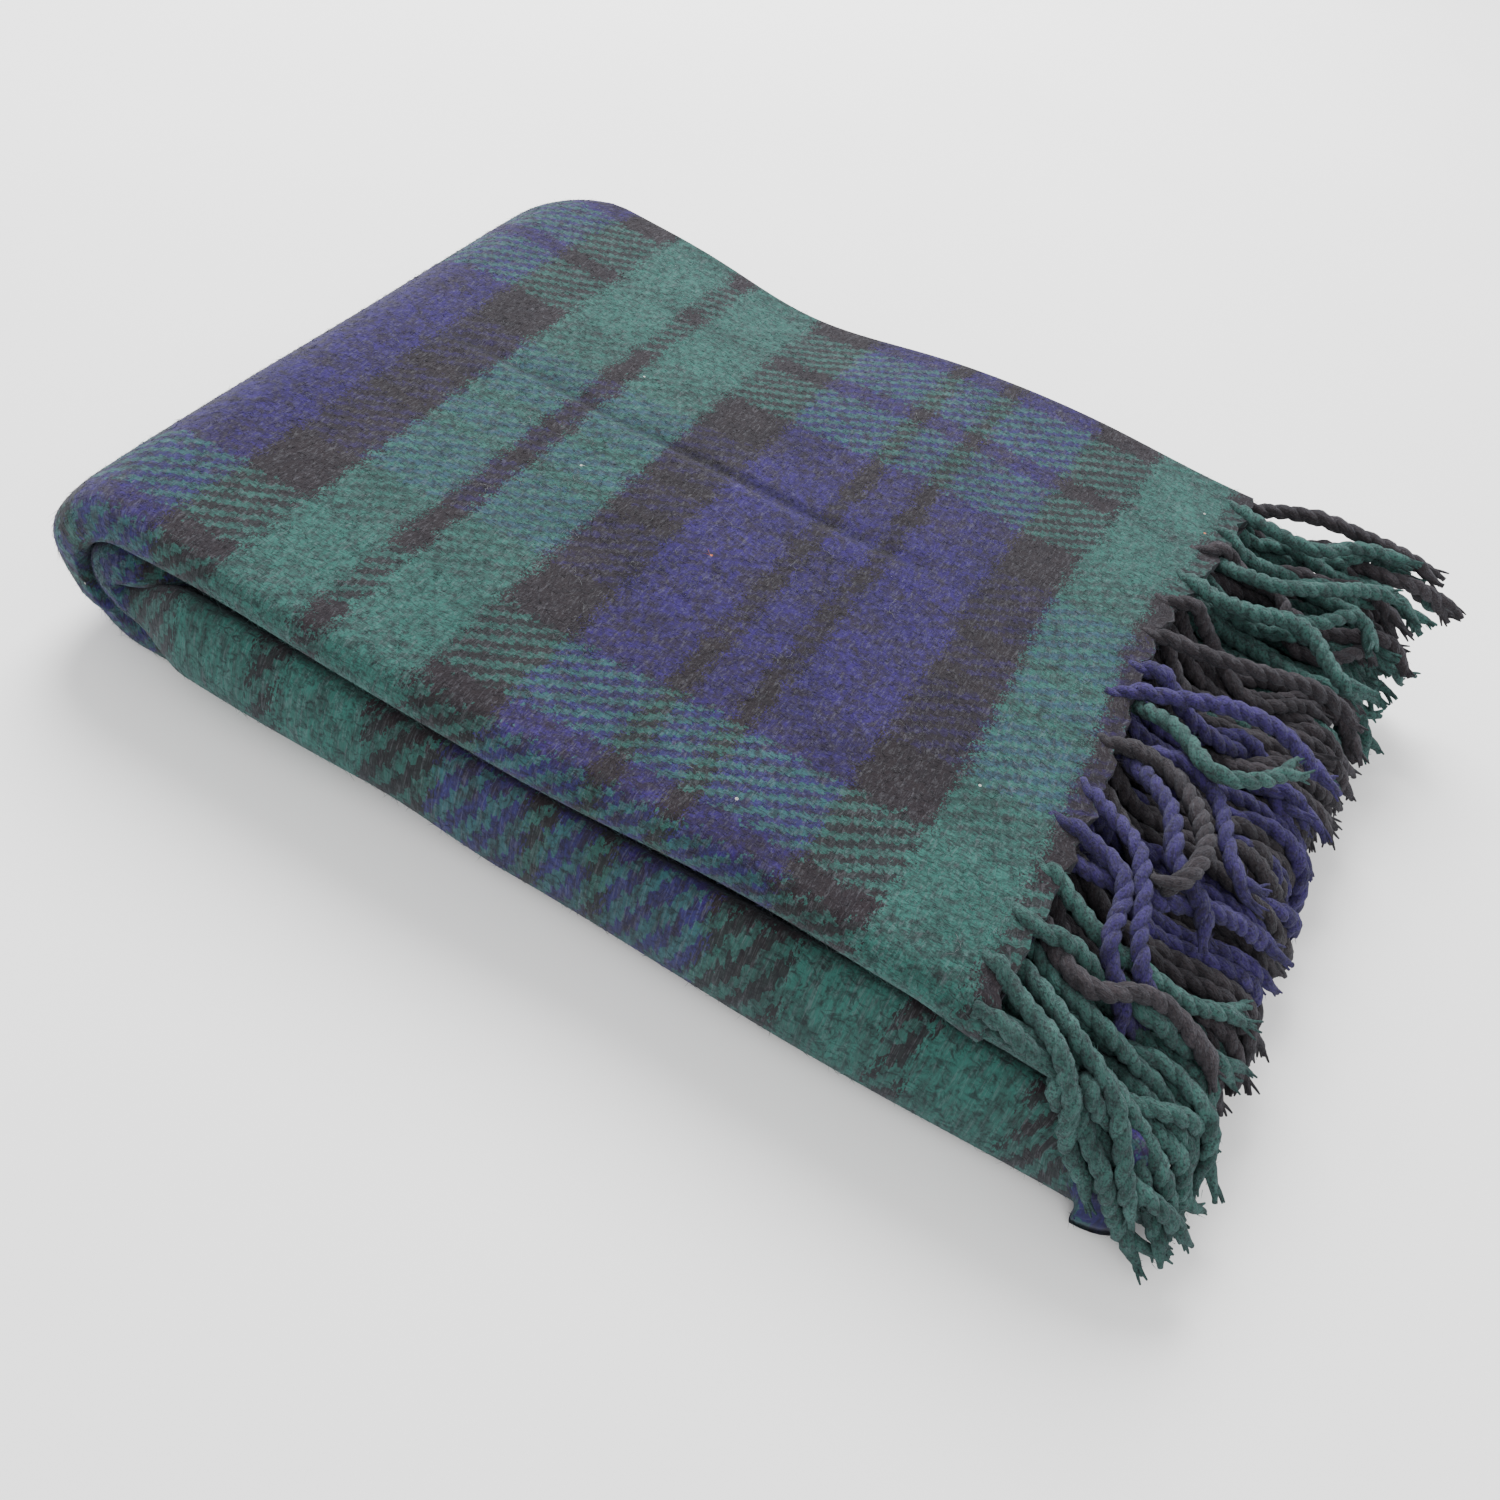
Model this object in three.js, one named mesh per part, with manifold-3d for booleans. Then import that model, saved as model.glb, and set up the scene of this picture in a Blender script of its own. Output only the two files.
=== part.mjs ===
// A fringed tartan throw blanket, folded into a flat pack.
// Millimetres, +Z up. X runs along the cloth's warp: -X is the folded end, +X the fringed end.
// The cloth is folded in four across its width, which makes one ply of four layers, and then in
// four along its length, which stacks the plies: ply_1 on top, ply_4 on the floor.

import * as THREE from 'three';
import { mergeVertices } from 'three/addons/utils/BufferGeometryUtils.js';
import Module from 'manifold-3d';

const wasm = await Module();
wasm.setup();

// ---- driving dimensions ----
const CLOTH_WIDTH = 1500;
const PACK_HEIGHT = 85;
const PACK_LENGTH = 565;          // folded end to the tips of the fringe
const FRINGE_REACH = 112;         // how far the top fringe stands out past the top ply
const SECOND_REACH = 100;         // the same for the fringe of ply_2, which lies under it
const LOWER_END_REACH = 85;       // how far the two lower plies stand out past the top ply
const PLIES = 4;
const LAYERS = 4;
const GAP = 0.35;                 // air between neighbouring pieces
const LAYER_GAP = 0.3;            // air between the layers of one ply
const FOLD_LIFT = 0.6;            // the soft end fold stays this far off the floor

const CORD_RADIUS = 3.2;
const CORD_SIDES = 6;
const CORD_STEPS = 8;
const HEADER_DEPTH = 6;           // bound root strip of a tassel group, along X
const HEADER_HEIGHT = 8;
const GROUP_GAP = 1.5;            // between neighbouring tassel groups, along Y
const TOP_CORDS = 4;              // plain solids that stand for many thinner cords
const SECOND_GROUPS = 4;
const SECOND_CORDS = 6;
const FOLD_STEPS = 14;            // facets round an end fold
const STATIONS = [0, 0.3, 0.6, 0.85, 1];      // where along its reach a cord's fall is set

// Fall below the root at each station, one row per top tassel group from front to back: the front
// cords hang over the pack's end and the back ones lie almost level.
const TOP_FALLS = [
  [0, 3, 13, 26, 42],
  [0, 3, 13, 25, 40],
  [0, 3, 12, 23, 37],
  [0, 2, 10, 20, 32],
  [0, 2, 8, 16, 26],
  [0, 1, 6, 12, 19],
];
const SECOND_FALL = [0, 8, 13, 13.4, 19];

// ---- derived dimensions ----
const HALF_WIDTH = CLOTH_WIDTH / LAYERS / 2;
const LEFT = -PACK_LENGTH / 2;
const ROOT_X = PACK_LENGTH / 2 - FRINGE_REACH;
const PITCH = (PACK_HEIGHT + GAP) / PLIES;
const PLY = PITCH - GAP;
const LAYER = (PLY - (LAYERS - 1) * LAYER_GAP) / LAYERS;
const OUTER_RADIUS = PACK_HEIGHT / 2 - FOLD_LIFT;
const FOLD_X = LEFT + OUTER_RADIUS + GAP;     // where the plies end and the left folds begin
const LOWER_RADIUS = (PITCH + PLY) / 2;
const LOWER_FOLD_X = ROOT_X + LOWER_END_REACH - LOWER_RADIUS - GAP;

const COLOURS = { navy: 0x3b3866, green: 0x3f6f66, black: 0x37323a, mixed: 0x3a4a5c };
const FRINGE_COLOURS = ['green', 'black', 'navy', 'navy', 'black', 'green'];

const group = new THREE.Group();

function addPiece(name, geometry, colour) {
  const options = { color: COLOURS[colour], roughness: 0.95, metalness: 0 };
  const mesh = new THREE.Mesh(geometry, new THREE.MeshStandardMaterial(options));
  mesh.name = name;
  group.add(mesh);
}

// A half circle from top to bottom, or from bottom to top, that bulges to side -1 or +1.
function halfTurn({ centre, level, radius, side, down, steps = 8 }) {
  return Array.from({ length: steps + 1 }, (_, i) => {
    const angle = Math.PI / 2 - (Math.PI * i) / steps;
    const rise = (down ? radius : -radius) * Math.sin(angle);
    return new THREE.Vector2(centre + side * radius * Math.cos(angle), level + rise);
  });
}

// Section of one ply across its width. The cloth runs from the top selvedge at the back to the front,
// round the outer front fold, back along the bottom, round the back fold, forward again, round the
// inner front fold and back to the other selvedge. The outline follows one face, then the other.
function plySection(bottom) {
  const middle = bottom + PLY / 2;
  const level = (layer) => bottom + layer * (LAYER + LAYER_GAP);
  const turn = LAYER + LAYER_GAP / 2;
  const front = { centre: -HALF_WIDTH + PLY / 2, level: middle, side: -1 };
  const back = { centre: HALF_WIDTH - turn, level: level(1) - LAYER_GAP / 2, side: 1 };
  return new THREE.Shape([
    new THREE.Vector2(HALF_WIDTH, bottom + PLY),
    ...halfTurn({ ...front, radius: PLY / 2, down: true }),
    ...halfTurn({ ...back, radius: turn, down: false }),
    ...halfTurn({ ...front, radius: LAYER_GAP / 2, down: false, steps: 2 }),
    new THREE.Vector2(HALF_WIDTH, level(2)),
    new THREE.Vector2(HALF_WIDTH, level(2) + LAYER),
    ...halfTurn({ ...front, radius: turn, down: true }),
    ...halfTurn({ ...back, radius: LAYER_GAP / 2, down: true, steps: 2 }),
    ...halfTurn({ ...front, radius: turn + LAYER_GAP, down: false }),
    new THREE.Vector2(HALF_WIDTH, level(3)),
  ]);
}

function addPly(number, to, colour) {
  const bottom = (PLIES - number) * PITCH;
  const options = { depth: to - FOLD_X, bevelEnabled: false };
  const geometry = new THREE.ExtrudeGeometry(plySection(bottom), options);
  geometry.rotateX(Math.PI / 2).rotateZ(Math.PI / 2).translate(FOLD_X, 0, 0);
  addPiece(`ply_${number}`, geometry, colour);
}

// A half ring in (x, z), as wide as the pack: a ply that turns back on itself at one end.
// A closed turn's inner face is no more than a crease, and takes only two facets.
function addEndFold(name, { centre, level, outer, inner, side }, colour) {
  const steps = inner < GAP ? 2 : FOLD_STEPS;
  const shape = new THREE.Shape([
    ...halfTurn({ centre, level, side, radius: outer, down: true, steps: FOLD_STEPS }),
    ...halfTurn({ centre, level, side, radius: inner, down: false, steps }),
  ]);
  const geometry = new THREE.ExtrudeGeometry(shape, { depth: 2 * HALF_WIDTH, bevelEnabled: false });
  addPiece(name, geometry.rotateX(Math.PI / 2).translate(0, HALF_WIDTH, 0), colour);
}

function solidOf(geometry) {
  geometry.deleteAttribute('normal');
  geometry.deleteAttribute('uv');
  const merged = mergeVertices(geometry, 1e-4);
  return new wasm.Manifold(new wasm.Mesh({
    numProp: 3,
    vertProperties: new Float32Array(merged.attributes.position.array),
    triVerts: new Uint32Array(merged.index.array),
  }));
}

function geometryOf(solid) {
  const mesh = solid.getMesh();
  const geometry = new THREE.BufferGeometry();
  geometry.setAttribute('position', new THREE.BufferAttribute(mesh.vertProperties, 3));
  geometry.setIndex(new THREE.BufferAttribute(mesh.triVerts, 1));
  return geometry;
}

function cordSolid(points) {
  const corners = Array.from({ length: CORD_SIDES }, (_, i) => {
    const angle = (2 * Math.PI * i) / CORD_SIDES;
    return new THREE.Vector2(Math.cos(angle), Math.sin(angle)).multiplyScalar(CORD_RADIUS);
  });
  const extrudePath = new THREE.CatmullRomCurve3(points);
  const options = { steps: CORD_STEPS, extrudePath, bevelEnabled: false };
  return solidOf(new THREE.ExtrudeGeometry(new THREE.Shape(corners), options));
}

// One tassel group: a root strip along Y with cords that run out in +X and drop by their own weight.
function addTasselGroup(name, { from, to, rootTop, reach, cords, falls }, colour) {
  const startX = ROOT_X + GAP + HEADER_DEPTH / 2;
  const startZ = rootTop - HEADER_HEIGHT / 2;
  const header = new THREE.BoxGeometry(HEADER_DEPTH, to - from, HEADER_HEIGHT);
  let solid = solidOf(header.translate(startX, (from + to) / 2, startZ));
  const run = ROOT_X + reach - startX;
  for (let i = 0; i < cords; i += 1) {
    const y = from + ((to - from) * (i + 0.5)) / cords;
    const point = (station, k) => new THREE.Vector3(startX + run * station, y, startZ - falls[k]);
    solid = solid.add(cordSolid(STATIONS.map(point)));
  }
  addPiece(name, geometryOf(solid), colour);
}

function addFringe(prefix, groups, colourOf, settings) {
  const pitch = (2 * HALF_WIDTH) / groups;
  for (let i = 0; i < groups; i += 1) {
    const from = -HALF_WIDTH + pitch * i + GROUP_GAP / 2;
    const span = { from, to: from + pitch - GROUP_GAP };
    addTasselGroup(`${prefix}_${i + 1}`, { ...span, ...settings(i) }, colourOf(i));
  }
}

// ---- the four plies, from the top down ----
addPly(1, ROOT_X, 'green');
addPly(2, ROOT_X, 'navy');
addPly(3, LOWER_FOLD_X, 'black');
addPly(4, LOWER_FOLD_X, 'mixed');

// ---- the turns at the pack's ends ----
// outer_fold joins ply_1 to ply_4, inner_fold ply_2 to ply_3, and right_fold ply_3 to ply_4.
const leftTurn = { centre: FOLD_X - GAP, level: PACK_HEIGHT / 2, side: -1 };
addEndFold('outer_fold', { ...leftTurn, outer: OUTER_RADIUS, inner: PACK_HEIGHT / 2 - PLY }, 'navy');
addEndFold('inner_fold', { ...leftTurn, outer: PITCH - GAP / 2, inner: GAP / 2 }, 'mixed');
const rightTurn = { centre: LOWER_FOLD_X + GAP, level: LOWER_RADIUS, side: 1 };
addEndFold('right_fold', { ...rightTurn, outer: LOWER_RADIUS, inner: GAP / 2 }, 'black');

// ---- the fringe on ply_1 and the one on ply_2 ----
addFringe('top_fringe', TOP_FALLS.length, (i) => FRINGE_COLOURS[i], (i) => (
  { rootTop: PACK_HEIGHT, reach: FRINGE_REACH, cords: TOP_CORDS, falls: TOP_FALLS[i] }
));
addFringe('second_fringe', SECOND_GROUPS, (i) => (i % 2 ? 'navy' : 'green'), () => (
  { rootTop: PACK_HEIGHT - PITCH, reach: SECOND_REACH, cords: SECOND_CORDS, falls: SECOND_FALL }
));

export default group;
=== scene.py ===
import math

import bpy
import numpy as np
from mathutils import Matrix, Vector


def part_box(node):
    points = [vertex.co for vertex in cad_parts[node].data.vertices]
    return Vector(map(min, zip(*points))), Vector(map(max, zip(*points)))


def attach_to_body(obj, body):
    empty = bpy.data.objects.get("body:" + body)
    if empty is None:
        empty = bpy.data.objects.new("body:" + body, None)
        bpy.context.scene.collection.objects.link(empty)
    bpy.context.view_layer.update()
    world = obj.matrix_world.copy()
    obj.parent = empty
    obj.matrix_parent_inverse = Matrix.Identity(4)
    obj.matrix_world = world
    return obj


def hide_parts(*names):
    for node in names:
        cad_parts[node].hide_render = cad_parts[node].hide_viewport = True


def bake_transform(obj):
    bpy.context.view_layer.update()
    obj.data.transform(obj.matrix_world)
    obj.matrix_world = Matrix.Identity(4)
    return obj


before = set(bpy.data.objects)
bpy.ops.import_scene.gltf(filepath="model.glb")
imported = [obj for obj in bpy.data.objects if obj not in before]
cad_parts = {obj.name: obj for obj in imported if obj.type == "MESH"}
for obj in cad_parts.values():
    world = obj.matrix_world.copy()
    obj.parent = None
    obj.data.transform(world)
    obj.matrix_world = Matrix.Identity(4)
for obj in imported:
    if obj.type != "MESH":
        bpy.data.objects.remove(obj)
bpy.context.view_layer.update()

RNG = np.random.default_rng(7)

# ---- the pack, in metres ----
WIDTH = 1.5                   # the whole cloth, from selvedge to selvedge
GAP = 0.00035                 # between plies
NEAR = 0.0002                 # slack when a height is compared with a ply's face
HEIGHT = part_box("ply_1")[1][2]
HALF_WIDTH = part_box("ply_1")[1][1]
FOLD_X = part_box("ply_1")[0][0]
ROOT_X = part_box("ply_1")[1][0]
LOWER_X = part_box("ply_3")[1][0]
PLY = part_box("ply_4")[1][2]
PITCH = (HEIGHT + GAP) / 4
LEVELS = [0.0026, 0.0079, 0.0131, 0.0184]   # depth of each of a ply's four layers, at its middle
LAYER = 0.0048                # thickness of one layer
OUTER_TURN = (LEVELS[0] + LEVELS[3]) / 2
PLY_RUN = ROOT_X - FOLD_X
LOWER_RUN = LOWER_X - FOLD_X
OUTER_ARC = math.pi * (HEIGHT / 2 - OUTER_TURN)
INNER_ARC = math.pi * OUTER_TURN
FOURTH_SLACK = 1.209          # the bottom ply's cloth is this many times as long as the ply

# ---- the tartan: half a repeat, from the middle of the green pair to the middle of the navy ----
HALF_REPEAT = 0.150
STRIPES = [
    (0, "black"), (0.007, "green"), (0.049, "black"), (0.085, "navy"), (0.129, "black"), (0.140, "navy"),
]
THREAD, PICK = 0.00212, 0.0035   # width of one warp and one weft thread in the twill's staircase
WARP_CENTRE = 0.0635
WEFT_CENTRE = 0.004
COLOURS = {
    "green": (0.0215, 0.0880, 0.0740),
    "navy": (0.0205, 0.0095, 0.0860),
    "black": (0.0132, 0.0090, 0.0106),
}


def smooth(x):
    """Rises smoothly from 0 at x = 0 to 1 at x = 1."""
    x = np.clip(x, 0, 1)
    return x * x * (3 - 2 * x)


def bump(x, centre, width):
    """A bell curve of height 1."""
    return np.exp(-(((x - centre) / width) ** 2))


def unit(vectors, least=0.0):
    """Vectors of length 1; least keeps a zero vector from dividing by nothing."""
    return vectors / (np.linalg.norm(vectors, axis=-1, keepdims=True) + least)


def square_to(vectors, axes):
    """What is left of each vector at right angles to its axis, made length 1."""
    return unit(vectors - axes * np.einsum("ij,ij->i", vectors, axes)[:, None])


# ---- mesh helpers ----
def mesh_object(name, points, faces, material, normals=None, **attributes):
    """A smooth-shaded mesh piece; the attributes are vectors per point."""
    mesh = bpy.data.meshes.new(name)
    mesh.from_pydata(np.asarray(points, float).tolist(), [], faces)
    for key, values in attributes.items():
        data = mesh.attributes.new(key, "FLOAT_VECTOR", "POINT").data
        data.foreach_set("vector", np.asarray(values, np.float32).ravel())
    mesh.polygons.foreach_set("use_smooth", np.ones(len(mesh.polygons), bool))
    mesh.materials.append(material)
    mesh.update()
    if normals is not None:
        mesh.normals_split_custom_set(normals.tolist())
    obj = bpy.data.objects.new(name, mesh)
    bpy.context.scene.collection.objects.link(obj)
    return obj


def faces_outward(points, quads):
    """True if the closed mesh's faces point outwards; quads may be triangles."""
    a, b, c = points[quads[:, 0]], points[quads[:, 1]], points[quads[:, 2]]
    volume = np.einsum("ij,ij->i", a, np.cross(b, c)).sum()
    if quads.shape[1] == 4:
        d = points[quads[:, 3]]
        volume += np.einsum("ij,ij->i", a, np.cross(c, d)).sum()
    return volume > 0


# ---- node helpers ----
class Nodes:
    """Short hand for building a material's node tree."""

    def __init__(self, name):
        self.material = bpy.data.materials.new(name)
        self.material.use_nodes = True
        self.tree = self.material.node_tree
        self.shader = self.tree.nodes["Principled BSDF"]

    def add(self, kind, inputs=(), output=0, **settings):
        node = self.tree.nodes.new(kind)
        for key, value in settings.items():
            setattr(node, key, value)
        for key, value in dict(inputs).items():
            self.plug(node.inputs[key], value)
        return node.outputs[output]

    def plug(self, socket, value):
        if isinstance(value, bpy.types.NodeSocket):
            self.tree.links.new(value, socket)
        else:
            socket.default_value = value

    def math(self, operation, *values):
        return self.add("ShaderNodeMath", dict(enumerate(values)), operation=operation)

    def plus(self, a, b):
        return self.math("ADD", a, b)

    def times(self, a, b):
        return self.math("MULTIPLY", a, b)

    def mix(self, factor, a, b, blend="MIX"):
        inputs = {"Factor": factor, 6: a, 7: b}
        return self.add("ShaderNodeMix", inputs, 2, data_type="RGBA", blend_type=blend)

    def scaled(self, colour, factor):
        return self.add("ShaderNodeVectorMath", {0: colour, "Scale": factor}, operation="SCALE")

    def noise(self, vector, scale, detail=2.0, roughness=0.5, distortion=0.0):
        inputs = {"Vector": vector, "Scale": scale, "Detail": detail, "Roughness": roughness}
        return self.add("ShaderNodeTexNoise", {**inputs, "Distortion": distortion})

    def span(self, value, low, high, to_low=0.0, to_high=1.0):
        inputs = {"Value": value, "From Min": low, "From Max": high, "To Min": to_low, "To Max": to_high}
        return self.add("ShaderNodeMapRange", inputs)

    def shift(self, noise, most):
        """A noise as a distance either way, up to most."""
        return self.span(noise, 0.3, 0.7, -most, most)

    def vector(self, x, y, z=0.0):
        return self.add("ShaderNodeCombineXYZ", {0: x, 1: y, 2: z})

    def attribute(self, name):
        return self.add("ShaderNodeAttribute", (), "Vector", attribute_name=name)

    def relief(self, height, strength, distance):
        inputs = {"Strength": strength, "Distance": distance, "Height": height}
        self.plug(self.shader.inputs["Normal"], self.add("ShaderNodeBump", inputs))

    def split(self, vector):
        node = self.tree.nodes.new("ShaderNodeSeparateXYZ")
        self.tree.links.new(vector, node.inputs[0])
        return node.outputs


# ---- the folded cloth's shape ----
def section_run(start, end, depth, step):
    """A flat stretch of one layer."""
    count = max(2, int(round(abs(end - start) / step)) + 1)
    return [(y, depth) for y in np.linspace(start, end, count)]


def section_turn(centre, depth, radius, side, down, steps):
    """Half circle of the cloth's mid line; depth grows away from the face that the section starts on."""
    points = []
    for i in range(1, steps):
        angle = math.pi / 2 - math.pi * i / steps
        rise = radius * math.sin(angle) * (-1 if down else 1)
        points.append((centre + side * radius * math.cos(angle), depth + rise))
    return points


def fold_section():
    """Mid line of the four layers: selvedge, front fold, back fold, inner front fold, selvedge."""
    one, two, three, four = LEVELS
    middle = (one + four) / 2
    outer, inner, back = (four - one) / 2, (three - two) / 2, (four - three) / 2
    front_y = -HALF_WIDTH + outer + LAYER / 2
    back_y = HALF_WIDTH - back - LAYER / 2
    edge = HALF_WIDTH - 0.001
    path = section_run(edge, front_y, one, 0.0034)
    path += section_turn(front_y, middle, outer, -1, True, 14)
    path += section_run(front_y, back_y, four, 0.0075)
    path += section_turn(back_y, (three + four) / 2, back, 1, False, 6)
    path += section_run(back_y, front_y, three, 0.014)
    path += section_turn(front_y, middle, inner, -1, False, 6)
    path += section_run(front_y, edge - 0.004, two, 0.014)
    return np.array(path)


def section_frame():
    """The section's mid line, its normals, and the distance across the cloth at each of its points."""
    path = fold_section()
    step = unit(np.gradient(path, axis=0))
    normal = np.stack([-step[:, 1], step[:, 0]], 1)
    across = distance_along(path)
    return path, normal, across * WIDTH / across[-1]


def straight(level, from_x, to_x, start, upside_down=False, slack=1.0, step=0.0036):
    """Stations along a straight ply. Each is (x, level of the first face, its direction, v)."""
    count = int(round(abs(to_x - from_x) / step)) + 1
    spread = np.linspace(0, 1, count)
    x = from_x + (to_x - from_x) * spread
    sign = 1 if upside_down else -1
    run = abs(to_x - from_x) * spread * slack
    return [(a, level, 0.0, float(sign), start + r) for a, r in zip(x, run)]


def turn(centre_x, level, radius, side, from_top, inward, start, arc, steps):
    """Stations round an end fold, with the first face outside (inward=1) or inside (inward=-1)."""
    stations = []
    for i in range(steps + 1):
        angle = math.pi * i / steps
        height = math.cos(angle) * (1 if from_top else -1)
        reach = math.sin(angle) * side
        stations.append((
            centre_x + radius * reach, level + radius * height, -reach * inward, -height * inward,
            start + arc * i / steps,
        ))
    return stations


def deform(points):
    """Soft shape of the real pack, as one smooth map of the ideal flat-folded one."""
    x, y, z = points.T.copy()
    x0, y0, z0 = points.T
    upper = smooth((z0 - 0.030) / 0.040)
    swell_band(x0, y0, z0, y, z)
    round_ends(x0, y0, x)
    sag_top(x0, y0, upper, z)
    back_dip = bump(x0, -0.085, 0.060)
    y -= 0.0095 * back_dip * smooth((y0 - 0.02) / 0.16) * upper
    y += (0.0015 + 0.0020 * np.sin(x0 * 19 + 1.0)) * smooth((y0 - 0.1) / 0.08)
    y += 0.0016 * np.sin(x0 * 24 + z0 * 90) * smooth((-y0 - 0.1) / 0.08)
    root_dip = bump(y0, 0.044, 0.075)
    x -= 0.011 * root_dip * smooth((x0 - 0.03) / 0.14) * smooth((z0 - 0.042) / 0.002)
    ragged = 0.0011 * np.sin(y0 * 230) + 0.0009 * np.sin(y0 * 417 + 1.0)
    ragged = ragged + 0.0007 * np.sin(y0 * 733 + z0 * 600)
    at_root = smooth((x0 - ROOT_X + 0.014) / 0.012) * (x0 < ROOT_X + 0.001)
    x += ragged * at_root * (z0 > 2 * PITCH - NEAR)
    return np.stack([x, y, z], 1)


def swell_band(x0, y0, z0, y, z):
    """The front fold of ply 3 swells over its neighbours, which end a little further back."""
    third = (z0 > PITCH - NEAR) & (z0 < 2 * PITCH - NEAR)
    second = (z0 > 2 * PITCH - NEAR) & (z0 < 3 * PITCH - NEAR)
    fourth = z0 < PITCH - NEAR
    along = smooth((x0 + 0.243) / 0.045)
    front = smooth((-0.160 - y0) / 0.024)
    low = 0.013 - 0.010 * smooth((x0 + 0.100) / 0.07)
    high = 0.0605 + 0.0025 * np.sin(x0 * 21)
    middle = (low + high) / 2 - 1.49 * PITCH
    growth = (high - low) / PLY - 1
    lift = (z0 - 1.49 * PITCH) * growth + middle
    z += np.where(third, front * along * lift, 0)
    y -= np.where(third, (0.0022 + 0.0075 * (1 - (z0 - PITCH) / PLY)) * front * along, 0)
    pull = smooth((-0.02 - y0) / 0.16)
    y += np.where(second, 0.026 * pull * along, 0)
    late = smooth((x0 + 0.085) / 0.05)
    y += np.where(fourth, (0.003 + 0.020 * late) * pull * smooth((0.25 - x0) / 0.03), 0)


def round_ends(x0, y0, x):
    """Both ends are rounded at their corners in plan."""
    for side, corner, share in ((-1, 0.030, 0.45), (1, 0.034, 0.75)):
        into = np.clip(side * y0 - (HALF_WIDTH - corner), 0, corner)
        back = corner - np.sqrt(np.maximum(corner**2 - into**2, 0))
        x += share * back * smooth((-0.17 - x0) / 0.10)
    into = np.clip(np.abs(y0) - (HALF_WIDTH - 0.02), 0, 0.02)
    back = 0.02 - np.sqrt(np.maximum(0.02**2 - into**2, 0))
    x -= 0.6 * back * smooth((x0 - 0.19) / 0.05)


def sag_top(x0, y0, upper, z):
    """The top is soft: it droops at its edges, dips where it is thin, and carries one pressed crease."""
    full = 1 - 0.75 * smooth((-0.19 - x0) / 0.05)
    drop = 0.0010 * smooth((-0.125 - y0) / 0.06)
    drop += 0.0012 * smooth((y0 - 0.135) / 0.05) * smooth((0.05 - x0) / 0.1)
    drop += 0.0050 * bump(x0, -0.070, 0.06) * smooth((y0 - 0.09) / 0.09)
    drop += 0.0050 * smooth((x0 - 0.14) / 0.04) * smooth((-0.145 - y0) / 0.045)
    drop += 0.0010 * (1 + np.sin(x0 * 22 + 2 * np.sin(y0 * 14)) * np.cos(y0 * 17 + 0.6)) * full
    drop += 0.0006 * (1 + np.sin(x0 * 47 + y0 * 31 + 1.3)) * full
    crease_y = 0.015 + 0.0025 * np.sin(x0 * 26) - 0.01 * x0
    faded = smooth((x0 + 0.235) / 0.05) * smooth((0.10 - x0) / 0.09)
    drop += 0.0016 * bump(y0, crease_y, 0.0036) * faded
    drop -= 0.0005 * bump(y0, crease_y - 0.010, 0.007) * faded
    z -= drop * upper


def ribbon_ring():
    """Outline of the folded ribbon, as (y, depth, u): one face, a rounded edge, the other face, an edge."""
    path, normal, across = section_frame()
    one, other = path + normal * LAYER / 2, path - normal * LAYER / 2
    arcs = []
    for end, sign in ((-1, 1), (0, -1)):
        outward = np.array([-normal[end, 1], normal[end, 0]]) * -sign
        angles = np.linspace(0, math.pi, 7)[1:-1]
        swing = [normal[end] * sign * math.cos(t) + outward * math.sin(t) for t in angles]
        arcs.append(path[end] + np.array(swing) * LAYER / 2)
    ring = np.concatenate([one, arcs[0], other[::-1], arcs[1]])
    far, near = np.full(len(arcs[0]), across[-1]), np.full(len(arcs[1]), across[0])
    return ring, np.concatenate([across, far, across[::-1], near]), len(path), len(arcs[0])


def ring_points(stations, ring):
    """The ribbon's outline set up at every station, and softened."""
    x, level, out_x, out_z, _ = np.array(stations).T
    points = np.empty((len(stations), len(ring), 3))
    points[:, :, 0] = x[:, None] + out_x[:, None] * ring[:, 1]
    points[:, :, 1] = ring[:, 0]
    points[:, :, 2] = level[:, None] + out_z[:, None] * ring[:, 1]
    return deform(points.reshape(-1, 3)).reshape(points.shape)


def cap_faces(count, arc, size):
    """Faces that close one end of the ribbon: a strip between its two faces, and its rounded edges."""
    half = np.arange(count - 1)
    partner = 2 * count + arc - 1
    strip = np.stack([half, half + 1, partner - half - 1, partner - half], 1)
    far = np.arange(count - 1, count + arc + 1)
    near = np.concatenate([np.arange(2 * count + arc - 1, size), [0]])
    return strip.tolist() + [far.tolist(), near.tolist()]


def tube_quads(rows, size):
    """Faces between neighbouring rings of a tube that is closed round each ring."""
    loop, following = np.arange(size), np.roll(np.arange(size), -1)
    start = np.arange(rows - 1)[:, None] * size
    quads = np.stack([start + loop, start + size + loop, start + size + following, start + following], -1)
    return quads.reshape(-1, 4)


def ribbon_normals(points):
    """Smooth normals of the whole ribbon, which carry on from one piece to the next."""
    along_ring = np.roll(points, -1, 1) - np.roll(points, 1, 1)
    return unit(np.cross(np.gradient(points, axis=0), along_ring), 1e-15)


def cap_normals(corners):
    """A flat face's normal, once for each of its corners."""
    way = np.cross(corners[1] - corners[0], corners[-1] - corners[0])
    return np.tile(unit(way, 1e-15), (len(corners), 1))


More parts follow.
